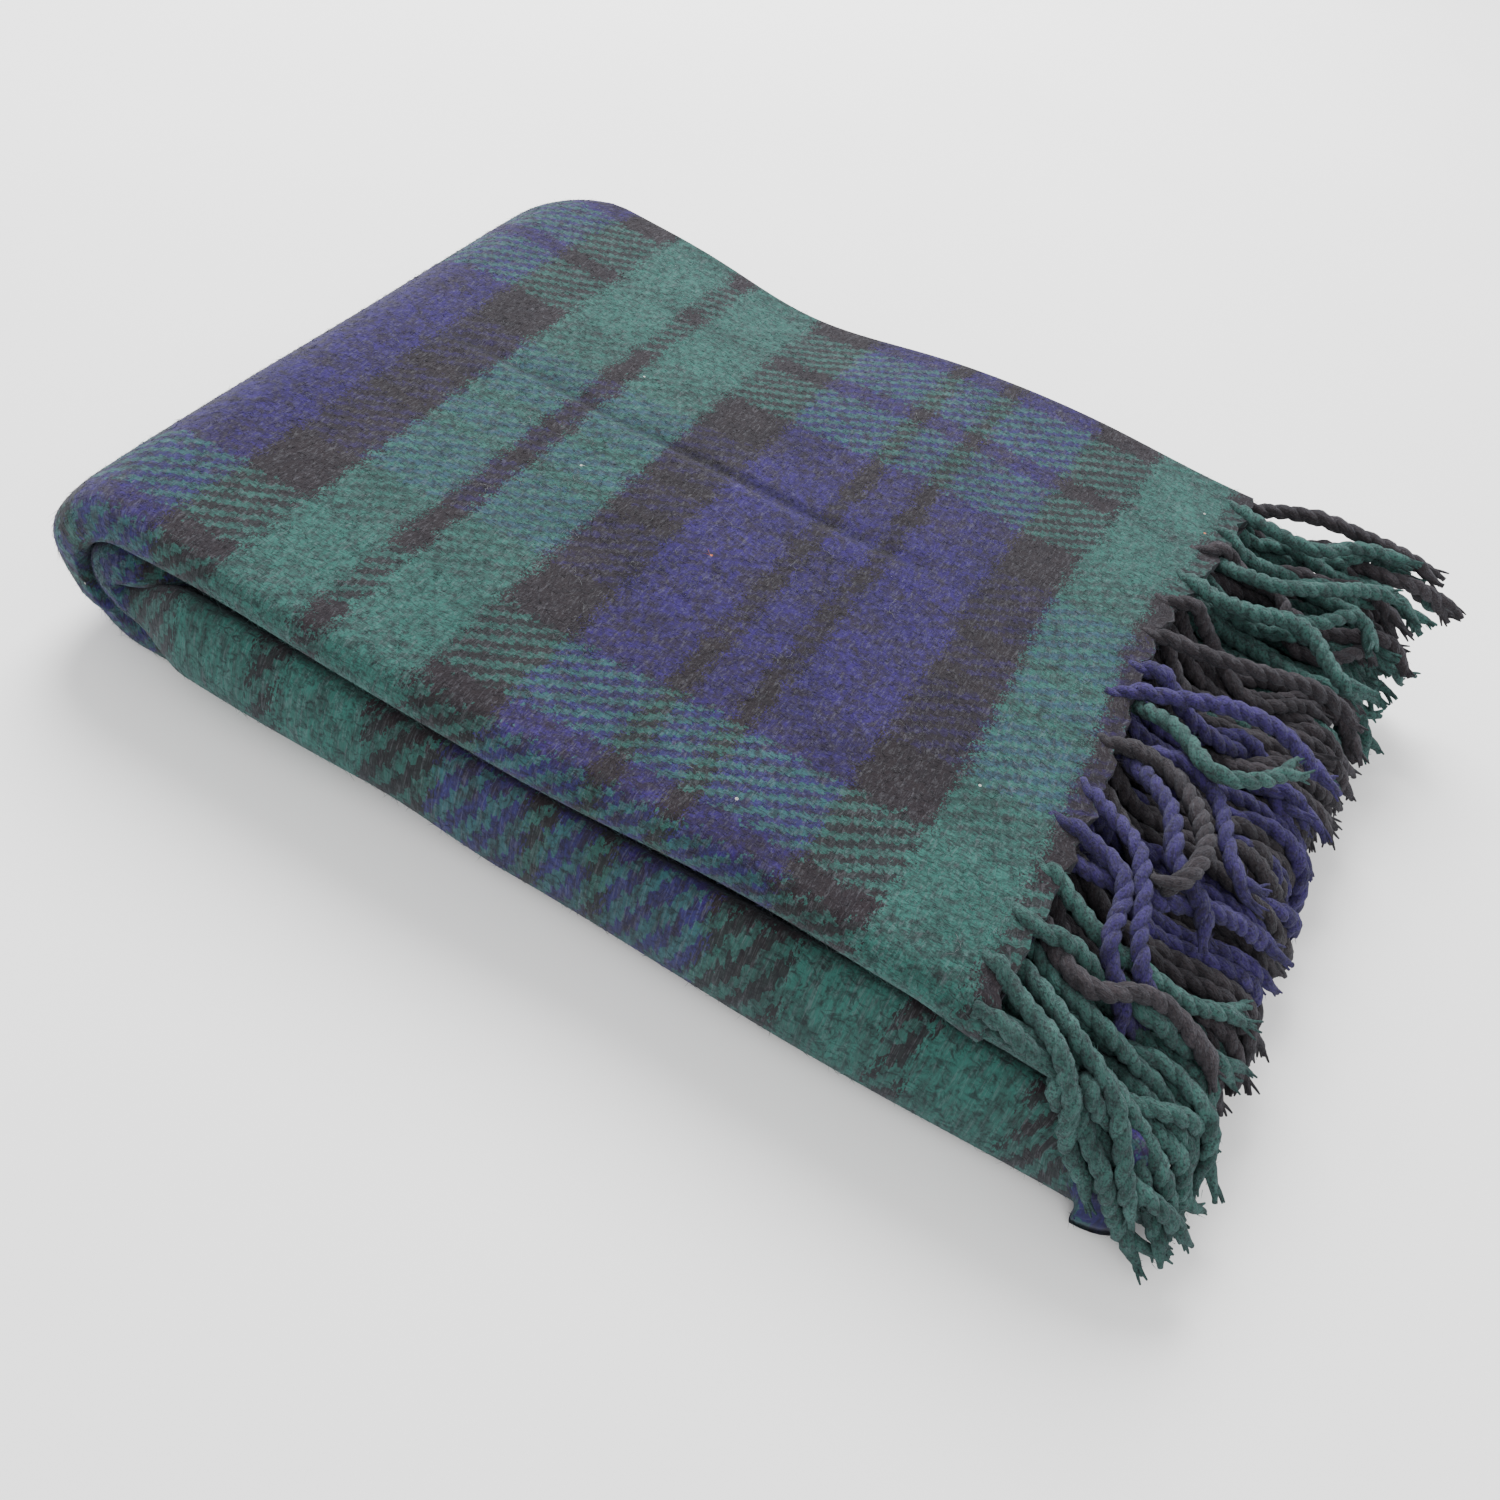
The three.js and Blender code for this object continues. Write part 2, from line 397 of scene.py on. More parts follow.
def cloth_piece(name, chain, first, last, material):
    """A closed ribbon of cloth over part of the chain of stations; its neighbours only set the normals."""
    ring, across, count, arc = ribbon_ring()
    before, after = int(first > 0), int(last < len(chain) - 1)
    points = ring_points(chain[first - before:last + 1 + after], ring)
    normals = ribbon_normals(points)
    points, normals = (a[before:len(a) - after] for a in (points, normals))
    rows, size = points.shape[:2]
    quads = tube_quads(rows, size)
    flat, flat_normals = points.reshape(-1, 3), normals.reshape(-1, 3)
    caps = cap_faces(count, arc, size)
    caps += [[v + (rows - 1) * size for v in face[::-1]] for face in caps]
    if not faces_outward(flat, quads):
        quads, caps = quads[:, ::-1], [face[::-1] for face in caps]
    sample = quads[len(quads) // 3]
    facing = np.cross(flat[sample[1]] - flat[sample[0]], flat[sample[2]] - flat[sample[0]])
    if facing @ flat_normals[sample[0]] <= 0:
        flat_normals = -flat_normals
    loop_normals = np.concatenate([flat_normals[quads.ravel()], *(cap_normals(flat[face]) for face in caps)])
    along = np.array([station[4] for station in chain[first:last + 1]])
    grid = np.stack(np.broadcast_arrays(across[None, :], along[:, None], 0.0), -1)
    obj = mesh_object(name, flat, quads.tolist() + caps, material, loop_normals, cloth=grid.reshape(-1, 3))
    nap = (points[:, :count], flat_normals.reshape(points.shape)[:, :count], grid[:, :count])
    return obj, nap


def spikes(roots, ways, lengths, radius):
    """Thin closed fibres, one four-sided spike each."""
    helper = np.where(np.abs(ways[:, 2:]) < 0.8, (0.0, 0.0, 1.0), (1.0, 0.0, 0.0))
    side = unit(np.cross(ways, helper))
    other = np.cross(ways, side)
    corners = [roots + radius * (math.cos(a) * side + math.sin(a) * other) for a in (0, 2.094, 4.189)]
    points = np.stack([*corners, roots + ways * lengths[:, None]], 1).reshape(-1, 3)
    base = np.arange(len(roots))[:, None, None] * 4
    faces = (base + np.array([[0, 1, 2], [0, 3, 1], [1, 3, 2], [2, 3, 0]])).reshape(-1, 3)
    return points, faces if faces_outward(points, faces) else faces[:, ::-1]


SEEN_ACROSS = 0.42            # this much of the cloth's width, and the front fold, can be seen
NAP_RADIUS = 0.00012
HAIR_RADIUS = 0.00011
HAIR_SAMPLES = 19


def nap_piece(name, nap, count, material):
    """Loose fibres raised on the face of a piece of cloth, lying mostly along it."""
    points, normals, grid = nap
    inner = grid[0, :, 0] < SEEN_ACROSS
    points, normals, grid = points[:, inner], normals[:, inner], grid[:, inner]
    step_v, step_u = points[1:, :-1] - points[:-1, :-1], points[:-1, 1:] - points[:-1, :-1]
    area = np.linalg.norm(np.cross(step_v, step_u), axis=2).ravel()
    cell = RNG.choice(len(area), count, p=area / area.sum())
    row, column = np.divmod(cell, points.shape[1] - 1)
    s, t = RNG.uniform(0, 1, (2, count, 1))
    roots = points[row, column] + s * step_v[row, column] + t * step_u[row, column]
    normal = normals[row, column]
    place = grid[row, column] + s * (grid[row + 1, column] - grid[row, column])
    place = place + t * (grid[row, column + 1] - grid[row, column])
    lean = square_to(RNG.normal(0, 1, (count, 3)) + (0.35, -0.35, 0), normal)
    lift = RNG.uniform(0.02, 0.42, (count, 1)) ** 1.3
    way = unit(lean + normal * lift)
    lengths = np.minimum(RNG.gamma(3.0, 0.0009, count) + 0.0010, 0.007)
    clear = roots[:, 2] + np.minimum(way[:, 2], 0) * lengths > 0.0006
    roots = roots[clear] - normal[clear] * 0.0002
    place = place[clear]
    fibre_points, faces = spikes(roots, way[clear], lengths[clear], NAP_RADIUS)
    return mesh_object(name, fibre_points, faces.tolist(), material, cloth=np.repeat(place, 4, 0))


def hair_path(surface, row, column):
    """A wandering line that lies just over the cloth, from this place on its grid."""
    heading, turning = RNG.uniform(0, 6.3), RNG.normal(0, 0.5)
    path = []
    for step in range(10):
        r, c = int(row), int(column)
        s, t = row - r, column - c
        near = surface[r, c] * (1 - t) + surface[r, c + 1] * t
        far = surface[r + 1, c] * (1 - t) + surface[r + 1, c + 1] * t
        path.append(near * (1 - s) + far * s + (0, 0, 0.0005 + 0.0009 * math.sin(step * 1.3 + turning) ** 2))
        row = min(max(row + 0.42 * math.cos(heading), 0), len(surface) - 2.001)
        column = min(max(column + 0.42 * math.sin(heading), 0), surface.shape[1] - 2.001)
        heading += turning + RNG.normal(0, 0.35)
    return np.array(path)


def stray_hairs(name, nap, count, material):
    """Long pale and dark hairs that have worked loose, thickest in a few places on the front half."""
    surface, tubes = nap[0][:, nap[2][0, :, 0] < 0.372], TubeSet()
    rows, columns = surface.shape[0] - 2.01, surface.shape[1] - 2.01
    centres = RNG.uniform(0.05, 0.95, (9, 2)) * (1, 0.45) + (0, 0.5)
    for _ in range(count):
        row, column = RNG.uniform(0, 1, 2)
        if RNG.uniform() < 0.6:
            row, column = centres[RNG.integers(9)] + RNG.normal(0, 0.035, 2)
        path = hair_path(surface, np.clip(row, 0, 1) * rows, np.clip(column, 0, 1) * columns)
        shade = RNG.choice((0.02, 0.13, 0.24), p=(0.35, 0.35, 0.30))
        radii = HAIR_RADIUS * (1 - 0.5 * np.linspace(0, 1, HAIR_SAMPLES))
        tubes.add(smooth_path(path, HAIR_SAMPLES), radii, 4, shade * np.array((0.96, 1.0, 1.04)))
    return tubes.build(name, material)


# ---- materials ----
def tartan_stripes(n, position):
    """Colour of the threads that lie at this distance across one direction of the tartan."""
    folded = n.math("PINGPONG", position, HALF_REPEAT)
    ramp = n.tree.nodes.new("ShaderNodeValToRGB")
    ramp.color_ramp.interpolation = "CONSTANT"
    elements = ramp.color_ramp.elements
    while len(elements) < len(STRIPES):
        elements.new(0.5)
    for element, (start, colour) in zip(elements, STRIPES):
        element.position = start / HALF_REPEAT
        element.color = (*COLOURS[colour], 1)
    n.plug(ramp.inputs[0], n.math("DIVIDE", folded, HALF_REPEAT))
    return ramp.outputs[0]


def twill_mask(n, u, v, nap):
    """1 where a warp thread floats over the weft, in the staircase of a 2/2 twill, blurred by the nap."""
    thread = n.math("FLOOR", n.math("DIVIDE", u, THREAD))
    pick = n.math("FLOOR", n.math("DIVIDE", v, PICK))
    step = n.math("SUBTRACT", thread, pick)
    phase = n.math("WRAP", n.math("DIVIDE", step, 4.0), 1.0, 0.0)
    stair = n.math("LESS_THAN", phase, 0.42)
    blurred = n.plus(n.times(stair, 0.62), n.times(nap, 0.76))
    return n.span(blurred, 0.52, 0.86)


def cloth_material():
    """Brushed tartan twill, from each point's place on the flat cloth: u across it, v along it."""
    n = Nodes("brushed_twill")
    cloth = n.attribute("cloth")
    u, v, _ = n.split(cloth)
    fine = n.noise(cloth, 420.0, 3.0, 0.65)
    grain = n.noise(cloth, 900.0, 2.0, 0.6)
    broad = n.noise(cloth, 26.0, 3.0, 0.6)
    wander = n.noise(cloth, 130.0, 3.0, 0.7)
    shift_u = n.plus(n.shift(fine, 0.0042), n.shift(wander, 0.0034))
    shift_v = n.plus(n.shift(grain, 0.0046), n.shift(wander, 0.0040))
    warp = tartan_stripes(n, n.plus(n.math("SUBTRACT", u, WARP_CENTRE), shift_u))
    weft = tartan_stripes(n, n.plus(n.math("SUBTRACT", v, WEFT_CENTRE), shift_v))
    loose_u = n.plus(u, n.shift(wander, 0.0012))
    loose_v = n.plus(v, n.shift(fine, 0.0012))
    mask = twill_mask(n, loose_u, loose_v, fine)
    bright = n.math("GREATER_THAN", n.split(warp)[1], 0.05)
    least, most = n.span(bright, 0, 1, 0.05, 0.12), n.span(bright, 0, 1, 0.40, 0.74)
    share = n.plus(least, n.times(mask, n.math("SUBTRACT", most, least)))
    colour = n.mix(share, weft, warp)
    colour = heather(n, colour, cloth, u, v, broad)
    n.plug(n.shader.inputs["Base Color"], colour)
    set_wool_finish(n)
    relief = n.plus(n.times(mask, 0.35), n.times(grain, 0.6))
    n.relief(n.plus(relief, n.times(wander, 0.8)), 0.55, 0.0009)
    return n.material


def heather(n, colour, cloth, u, v, broad):
    """Mixed fibres: charcoal mottling, worn patches, pale and dark hairs, and lint; also a random broad tone,
    and painted shade along the crease on the top.
    """
    mottle = n.noise(cloth, 260.0, 3.0, 0.7, 0.4)
    charcoal = n.times(n.span(mottle, 0.44, 0.64), 0.55)
    colour = n.mix(charcoal, colour, (0.0105, 0.0078, 0.0098, 1))
    patches = n.noise(cloth, 105.0, 4.0, 0.78, 0.7)
    greenness = n.span(n.split(colour)[1], 0.015, 0.060)
    most = n.math("SUBTRACT", 0.74, n.times(greenness, 0.42))
    worn = n.times(n.span(patches, 0.45, 0.62), most)
    colour = n.mix(worn, colour, (0.0150, 0.0108, 0.0118, 1))
    hairs_u = n.noise(n.vector(n.times(u, 0.26), v), 820.0, 3.0, 0.62, 1.2)
    hairs_v = n.noise(n.vector(u, n.times(v, 0.26)), 900.0, 3.0, 0.62, 1.2)
    pale = n.times(n.span(hairs_u, 0.50, 0.70), 0.50)
    colour = n.mix(pale, colour, n.mix(0.40, colour, (0.170, 0.178, 0.200, 1)))
    dark = n.times(n.span(hairs_v, 0.48, 0.66), 0.70)
    colour = n.mix(dark, colour, (0.0080, 0.0065, 0.0085, 1))
    # shade is a random broad tone times the painted shade along the crease
    shade = n.times(n.span(broad, 0.3, 0.7, 0.84, 1.18), painted_crease_shade(n, u, v))
    return lint(n, n.scaled(colour, shade), cloth)


def lint(n, colour, cloth):
    """Sparse bright specks, most of them pale and some rust red."""
    speck, cell = (n.add("ShaderNodeTexVoronoi", {"Vector": cloth, "Scale": 60.0}, k) for k in (0, 1))
    chance, kind, _ = n.split(cell)
    rare = n.times(n.math("LESS_THAN", speck, 0.045), n.math("GREATER_THAN", chance, 0.86))
    tinted = n.mix(n.math("GREATER_THAN", kind, 0.75), (0.32, 0.33, 0.31, 1), (0.42, 0.12, 0.05, 1))
    return n.mix(rare, colour, tinted)


def painted_crease_shade(n, u, v):
    """Painted shade: the colour is darkened along the crease that runs down the top of the pack, where the
    groove lies in shade.
    """
    wave = n.times(n.math("SINE", n.times(v, 41.0)), 0.0016)
    off = n.math("ABSOLUTE", n.math("SUBTRACT", n.plus(u, wave), HALF_WIDTH - 0.015))
    line = n.span(off, 0.0012, 0.0042, 1.0, 0.0)
    ends = n.times(n.span(v, 0.05, 0.20), n.span(v, 0.36, 0.40, 1.0, 0.0))
    return n.math("SUBTRACT", 1.0, n.times(n.times(line, ends), 0.40))


def set_wool_finish(n):
    """Matt, with a faint sheen."""
    n.shader.inputs["Roughness"].default_value = 0.95
    n.shader.inputs["Specular IOR Level"].default_value = 0.10
    n.shader.inputs["Sheen Weight"].default_value = 0.08
    n.shader.inputs["Sheen Roughness"].default_value = 0.6
    n.shader.inputs["Sheen Tint"].default_value = (0.80, 0.88, 1.0, 1)


# ---- the fringe: cords that start on guided, wavy paths, then settle by a small seeded simulation ----
CORD_RADIUS = 0.0038
NODE_STEP = 0.005
NODES = 28
SETTLE_STEPS = 220
TOP_GROUPS, SECOND_GROUPS = 6, 4
TOP_CORDS, SECOND_CORDS = 15, 12   # in each of the four layers
# where the cords lie, in millimetres: y of the root; x, y, z half way along; x, y, z of the end
TOP_LIE = np.array([
    (-187, 208, -188, 62, 256, -195, 12),
    (-172, 218, -180, 59, 271, -190, 10),
    (-156, 224, -162, 59, 283, -172, 7),
    (-140, 226, -148, 62, 286, -156, 10),
    (-70, 228, -72, 68, 286, -70, 15),
    (0, 225, 4, 70, 283, 14, 30),
    (75, 228, 80, 73, 290, 94, 40),
    (135, 231, 148, 78, 293, 168, 58),
    (187, 229, 193, 81, 289, 200, 74),
]) / 1000
SECOND_LIE = np.array([
    (-187, 214, -187, 50, 252, -195, 8),
    (-160, 222, -164, 50, 276, -174, 5),
    (-120, 226, -124, 50, 272, -130, 6),
    (0, 224, 0, 50, 276, 0, 10),
    (100, 228, 105, 52, 281, 112, 24),
    (187, 228, 188, 56, 279, 195, 38),
]) / 1000
# Single cords that lie loose on top of the others: colour, and points along each in millimetres.
# Most x and y were worked out by another program, from cords marked on the photograph.
LOOSE = [
    ("navy", (168, -75, 83), (191, -98, 83), (196, -127, 76), (213, -139, 61), (221, -149, 49)),
    ("navy", (166, -52, 83), (194, -86, 85), (206, -121, 78), (221, -136, 64), (229, -147, 54)),
    ("navy", (164, -19, 83), (195, -55, 87), (205, -79, 85), (223, -90, 77), (240, -109, 56)),
    ("navy", (164, -12, 83), (193, 14, 89), (224, 18, 88), (249, 15, 78), (274, 26, 62)),
    ("green", (166, 3, 83), (186, -15, 91), (205, -31, 92.5), (225, -18, 91), (241, 9, 88)),
    ("black", (166, -28, 83), (187, -34, 86), (210, -58, 88), (214, -77, 89), (206, -97, 88), (200, -88, 80)),
    ("navy", (168, -20, 83), (190, -24, 85), (212, -36, 84), (222, -57, 84), (239, -70, 78), (260, -55, 68)),
    ("navy", (168, -100, 83), (205, -96, 79), (228, -85, 76), (253, -74, 62), (275, -67, 48)),
    ("black", (160, 40, 83), (200, 50, 87), (234, 64, 82), (250, 68, 74), (279, 75, 58)),
    ("green", (166, 106, 83), (183, 88, 87), (217, 93, 89), (239, 79, 82), (270, 91, 70)),
    ("green", (168, 134, 83), (198, 117, 88), (239, 148, 87), (267, 162, 80), (273, 152, 74)),
    ("green", (166, 168, 82), (189, 162, 86), (209, 160, 88), (227, 181, 86), (257, 193, 82)),
    ("black", (166, 182, 81), (196, 195, 82), (223, 199, 82), (248, 199.5, 81), (271, 200.5, 77)),
    ("green", (166, 98, 82), (218, 113, 79), (240, 134, 80), (253, 120, 72), (275, 112, 60)),
    ("green", (158, -133, 83), (166, -143, 82), (184, -139, 78), (200, -137, 70), (225, -142, 52)),
    ("green", (160, -162, 79), (188, -177, 77), (205, -188, 68), (219, -194, 42), (246, -195, 16)),
    ("green", (164, -156, 80), (201, -171, 74), (224, -184, 62), (240, -193, 42), (254, -195, 20)),
    ("green", (166, -145, 81), (203, -156, 70), (233, -155, 52), (256, -159, 30), (275, -164, 10)),
    ("black", (164, -138, 82), (195, -150, 76), (217, -136, 72), (246, -134, 55), (257, -138, 40)),
    ("green", (170, -116, 81), (205, -126, 74), (234, -123, 64), (255, -108, 56), (271, -95, 46)),
    ("green", (170, -126, 80), (215, -136, 66), (248, -133, 50), (262, -124, 42), (280, -120, 28)),
]


def stripe_colour(u):
    """Colour of the warp threads at this distance from the selvedge."""
    folded = abs((u - WARP_CENTRE + HALF_REPEAT) % (2 * HALF_REPEAT) - HALF_REPEAT)
    return [colour for start, colour in STRIPES if start <= folded][-1]


def cord_colour(y):
    """Colour of the warp threads that a cord gathers; the foremost cords are green."""
    return "green" if y < -0.165 else stripe_colour(HALF_WIDTH - y)


def cord_roots(levels, first_up, per_layer, margin):
    """Where the cords leave the cloth, layer by layer, as points of the ideal pack."""
    roots = []
    for row, level in enumerate(levels):
        spread = np.linspace(-HALF_WIDTH + margin, HALF_WIDTH - margin, per_layer)
        spread = spread + (row % 2 - 0.5) * 0.5 * (spread[1] - spread[0])
        spread += RNG.normal(0, 0.0018, per_layer)
        for y in np.clip(spread, -HALF_WIDTH + 0.004, HALF_WIDTH - 0.004):
            on_top = row == 0 and first_up > HEIGHT - 0.001 and -0.162 < y < 0.178
            nearest, furthest, depth = (0.008, 0.016, 0.0021) if on_top else (0.004, 0.010, level)
            roots.append((ROOT_X - RNG.uniform(nearest, furthest), y, first_up - depth))
    return np.array(roots)


def start_paths(roots, lie, scatter):
    """Wavy paths from each root, by way of a middle point, to where its cord should come to lie."""
    count = len(roots)
    y = roots[:, 1]
    front = smooth((-0.14 - y) / 0.03)
    spread = scatter * (1 - 0.6 * front)
    guided = np.stack([np.interp(y, lie[:, 0], column) for column in lie.T[1:]], 1)
    middle, end = guided[:, :3], guided[:, 3:]
    middle[:, 1] += RNG.normal(0, 0.55, count) * spread
    further = RNG.uniform(0, 1, count) * front
    end[:, 0] += RNG.normal(0, 0.007, count) + 0.012 * further
    end[:, 1] += RNG.normal(0, 1, count) * spread
    share = np.linspace(0, 1, NODES)[None, :, None]
    paths = roots[:, None] * (1 - share) * (1 - 2 * share)
    paths = paths + middle[:, None] * 4 * share * (1 - share) + end[:, None] * share * (2 * share - 1)
    phase, waves = RNG.uniform(0, 6.3, (2, count, 1)), RNG.uniform(0.8, 2.0, (count, 1))
    size = spread[:, None] * RNG.uniform(0.1, 0.75, (count, 1))
    share = share[:, :, 0]
    paths[:, :, 1] += size * np.sin(share * waves * 6.3 + phase[0]) * smooth(share / 0.3)
    paths[:, :, 2] += 0.003 * np.sin(share * 17 + phase[1]) * smooth(share / 0.3)
    return np.array([even_nodes(path) for path in paths])


def even_nodes(line):
    """A cord's nodes, evenly spaced along this line and straight on past its end."""
    run = distance_along(line)
    wanted = np.arange(NODES) * NODE_STEP
    nodes = np.stack([np.interp(wanted, run, line[:, axis]) for axis in range(3)], 1)
    over = np.maximum(wanted - run[-1], 0)[:, None]
    return nodes + over * (line[-1] - line[-3]) / np.linalg.norm(line[-1] - line[-3])


def place_loose(paths, roots):
    """Gives the nearest cords of the upper layers the loose ones' paths; returns their colours."""
    chosen = {}
    for colour, *points in LOOSE:
        points = np.array(points) / 1000
        order = np.argsort(np.abs(roots[:, 1] - points[0, 1]) + 1.5 * (HEIGHT - roots[:, 2]))
        mine = next(int(k) for k in order if int(k) not in chosen)
        paths[mine] = even_nodes(smooth_path(np.array([paths[mine][0], *points[1:]]), 90))
        chosen[mine] = colour
    return chosen


def natural_bends(count):
    """A gentle wave that each cord keeps from its twist, as a second difference per node."""
    distance = np.arange(NODES) * NODE_STEP
    bends = np.zeros((count, NODES, 3))
    for axis, size in ((1, 0.0011), (2, 0.0006)):
        phase, length = RNG.uniform(0, 6.3, (count, 1)), RNG.uniform(0.035, 0.080, (count, 1))
        bends[:, :, axis] = size * RNG.uniform(0.3, 1.5, (count, 1)) * np.sin(distance / length * 6.3 + phase)
    return bends


def keep_lengths(paths):
    """Brings each stretch between two nodes back to its length."""
    for start in (0, 1):
        a, b = paths[:, start:-1:2], paths[:, start + 1::2]
        b = b[:, :a.shape[1]]
        gap = b - a
        length = np.linalg.norm(gap, axis=2, keepdims=True) + 1e-9
        move = gap * (0.5 * (length - NODE_STEP) / length)
        a += move
        b -= move


def keep_bends(paths, bends, strength):
    """Straightens the cords towards their natural wave."""
    middle = (paths[:, :-2] + paths[:, 2:]) / 2 - bends[:, 1:-1] / 2
    move = (middle - paths[:, 1:-1]) * strength
    paths[:, 1:-1] += move
    paths[:, :-2] -= move / 2
    paths[:, 2:] -= move / 2


def near_pairs(flat, cord, index, reach):
    """Nodes that may touch: of two cords, or far apart along one."""
    pairs = []
    order = np.argsort(flat[:, 1])
    along = flat[order, 1]
    ends = np.searchsorted(along, along + reach)
    width = int((ends - np.arange(len(along))).max())
    for shift in range(1, width):
        a, b = order[:-shift], order[shift:]
        close = np.abs(flat[a] - flat[b]).max(1) < reach
        apart = (cord[a] != cord[b]) | (np.abs(index[a] - index[b]) > 3)
        keep = close & apart & ((index[a] > 2) | (index[b] > 2))
        pairs.append(np.stack([a[keep], b[keep]]))
    return np.concatenate(pairs, 1)


def push_apart(flat, pairs, limit):
    """Moves nodes that are nearer than the limit away from each other."""
    a, b = pairs
    gap = flat[b] - flat[a]
    length = np.linalg.norm(gap, axis=1) + 1e-9
    over = np.maximum(limit - length, 0)
    move = gap * (0.42 * over / length)[:, None]
    for axis in range(3):
        flat[:, axis] += np.bincount(b, move[:, axis], len(flat)) - np.bincount(a, move[:, axis], len(flat))


def push_off_box(flat, low, high, rounding):
    """Moves points out of a rounded box, to one cord radius off its surface."""
    low, high = np.array(low) + rounding, np.array(high) - rounding
    nearest = np.clip(flat, low, high)
    away = flat - nearest
    distance = np.linalg.norm(away, axis=1)
    inside = distance < rounding + CORD_RADIUS
    deep = distance < 1e-6
    scale = (rounding + CORD_RADIUS) / np.maximum(distance, 1e-6)
    moved = nearest + away * scale[:, None]
    flat[inside & ~deep] = moved[inside & ~deep]
    flat[deep, 2] = high[2] + rounding + CORD_RADIUS


TOUCH = 1.9 * CORD_RADIUS     # soft cords press into each other a little
LOOK_ROUND = 0.0105           # how far apart two nodes may be and still be tested for touching
DRAG, FASTEST, FALL = 0.86, 0.003, 0.00022
LOOSE_HOLD = 0.16
HIGHEST, FURTHEST = 0.0930, 0.303
FRONT_LIMIT, BACK_LIMIT = -0.1985, 0.2010
# how near the foremost cords come to the front corner of the pack, at five heights
CORNER_HEIGHTS, CORNER_REACH = (0.004, 0.018, 0.042, 0.068, 0.078), (0.250, 0.242, 0.215, 0.200, 0.172)


def stay_in_place(flat):
    """Keeps the cords off the floor and the lower plies, and inside the room that they may take up."""
    push_off_box(flat, (-0.4, -HALF_WIDTH, -0.06), (LOWER_X + PITCH, HALF_WIDTH, 2 * PITCH), 0.014)
    flat[:, 2] = np.clip(flat[:, 2], CORD_RADIUS, HIGHEST)
    flat[:, 1] = np.clip(flat[:, 1], FRONT_LIMIT, BACK_LIMIT)
    flat[:, 0] = np.minimum(flat[:, 0], FURTHEST)
    corner = np.interp(flat[:, 2], CORNER_HEIGHTS, CORNER_REACH)
    in_front = flat[:, 1] < -0.176
    flat[in_front, 0] = np.maximum(flat[in_front, 0], corner[in_front])


def settle(paths, loose):
    """Lets the cords fall, keep apart and drape, while they are drawn towards their first paths.

    The loose ones are drawn most, and stay nearly where they were laid.
    """
    count = len(paths)
    guide = paths.copy()
    front = smooth((-0.150 - paths[:, 0, 1]) / 0.025)
    back = smooth((paths[:, 0, 1] - 0.090) / 0.060)
    across = 0.014 + 0.040 * front
    lift = 0.007 + 0.045 * front + 0.020 * back
    hold = np.stack([across, across, lift], 1)[:, None] * smooth(np.linspace(0, 1, NODES) * 3)[None, :, None]
    hold[loose] = LOOSE_HOLD
    bends = natural_bends(count)
    bends[loose] *= 0.2
    on_top = (paths[:, 0, 2] > HEIGHT - 0.0068) & (np.abs(paths[:, 0, 1]) < 0.178)
    rise = np.minimum(np.arange(NODES) * 0.0012, 0.0032)
    lowest = np.where(on_top[:, None], paths[:, :1, 2] + rise, 0)
    fixed = paths[:, :2].copy()
    cord = np.repeat(np.arange(count), NODES)
    index = np.tile(np.arange(NODES), count)
    previous = paths.copy()
    for step in range(SETTLE_STEPS):
        flat = paths.reshape(-1, 3)
        if step % 6 == 0:
            pairs = near_pairs(flat, cord, index, LOOK_ROUND)
        velocity = np.clip((paths - previous) * DRAG, -FASTEST, FASTEST)
        previous = paths.copy()
        paths += velocity
        paths[:, :, 2] -= FALL
        paths += (guide - paths) * hold
        for _ in range(3):
            keep_bends(paths, bends, 0.30)
            keep_lengths(paths)
            paths[:, :2] = fixed
        push_apart(flat, pairs, TOUCH)
        stay_in_place(flat)
        over_cloth = paths[:, :, 0] < ROOT_X - 0.002
        paths[:, :, 2] = np.where(over_cloth, np.maximum(paths[:, :, 2], lowest), paths[:, :, 2])
        paths[:, :2] = fixed
    return paths


def distance_along(line):
    """Distance of each point from the line's start."""
    return np.concatenate([[0], np.cumsum(np.linalg.norm(np.diff(line, axis=0), axis=1))])


def smooth_path(nodes, samples):
    """Catmull-Rom curve through a cord's nodes."""
    padded = np.concatenate([[2 * nodes[0] - nodes[1]], nodes, [2 * nodes[-1] - nodes[-2]]])
    t = np.linspace(0, len(nodes) - 1 - 1e-6, samples)
    i = t.astype(int)
    f = (t - i)[:, None]
    a, b, c, d = (padded[i + k] for k in range(4))
    return 0.5 * (2 * b + (c - a) * f + (2 * a - 5 * b + 4 * c - d) * f**2 + (3 * b - a - 3 * c + d) * f**3)


def carried_frame(points):
    """Two directions across the curve that turn with it without twisting."""
    tangent = unit(np.gradient(points, axis=0), 1e-12)
    side = np.cross(tangent[0], (0, 0, 1.0))
    sides = []
    for t in tangent:
        side = unit(side - t * (side @ t), 1e-12)
        sides.append(side)
    sides = np.array(sides)
    return tangent, sides, np.cross(tangent, sides)


ABOVE_FLOOR = 0.0003


